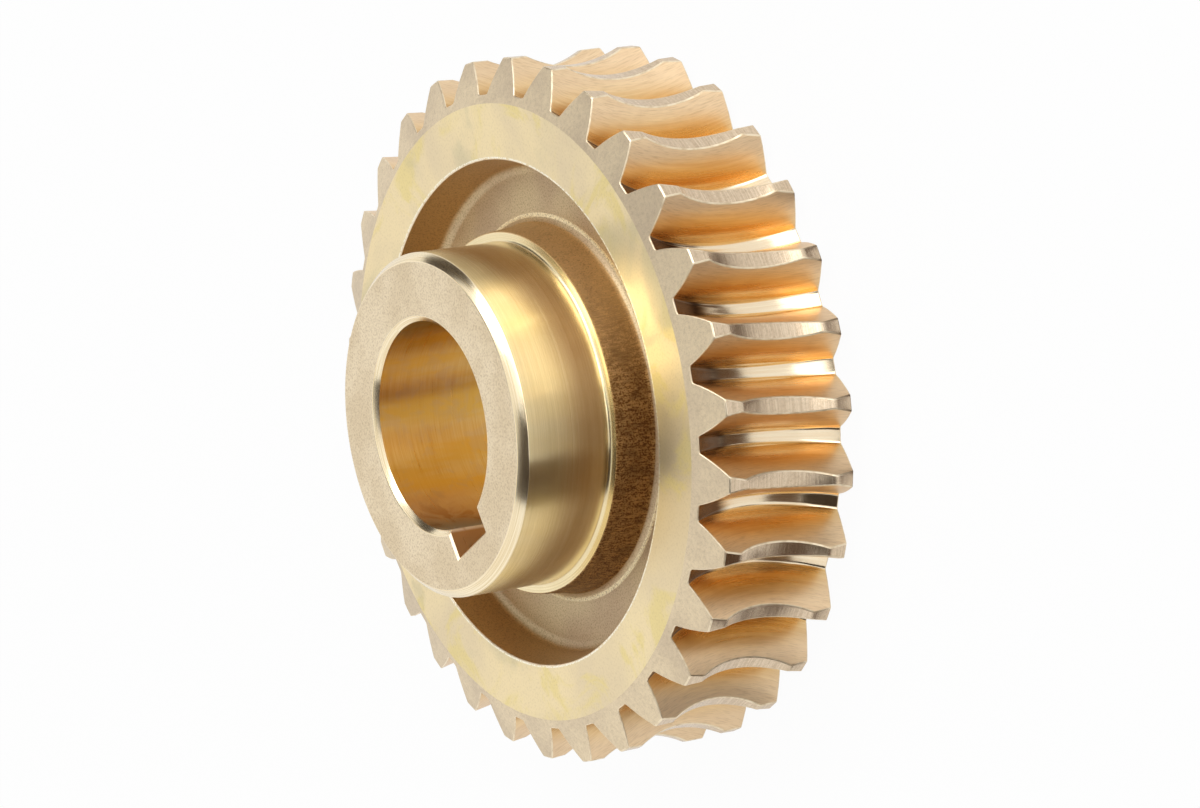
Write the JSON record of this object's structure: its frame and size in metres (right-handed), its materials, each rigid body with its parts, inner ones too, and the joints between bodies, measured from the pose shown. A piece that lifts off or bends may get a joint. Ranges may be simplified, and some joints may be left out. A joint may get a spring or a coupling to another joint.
{
  "type": "worm wheel",
  "caption": "One-piece bronze worm wheel with hollow-cut teeth, a cast recess, and a turned hub with a keyed bore.",
  "frame": {"origin": "on the wheel's axis, in its plain rear face, which is the bottom", "axes": "+Z along the bore towards the hub, +X through the middle of the keyway"},
  "size_m": [0.068, 0.068, 0.0262],
  "materials": {
    "bronze": "gunmetal bronze: turned hub, bore and rim faces, hobbed teeth, as-cast recess"
  },
  "bodies": {
    "root": {"worm_wheel": "bronze"}
  },
  "joints": []
}
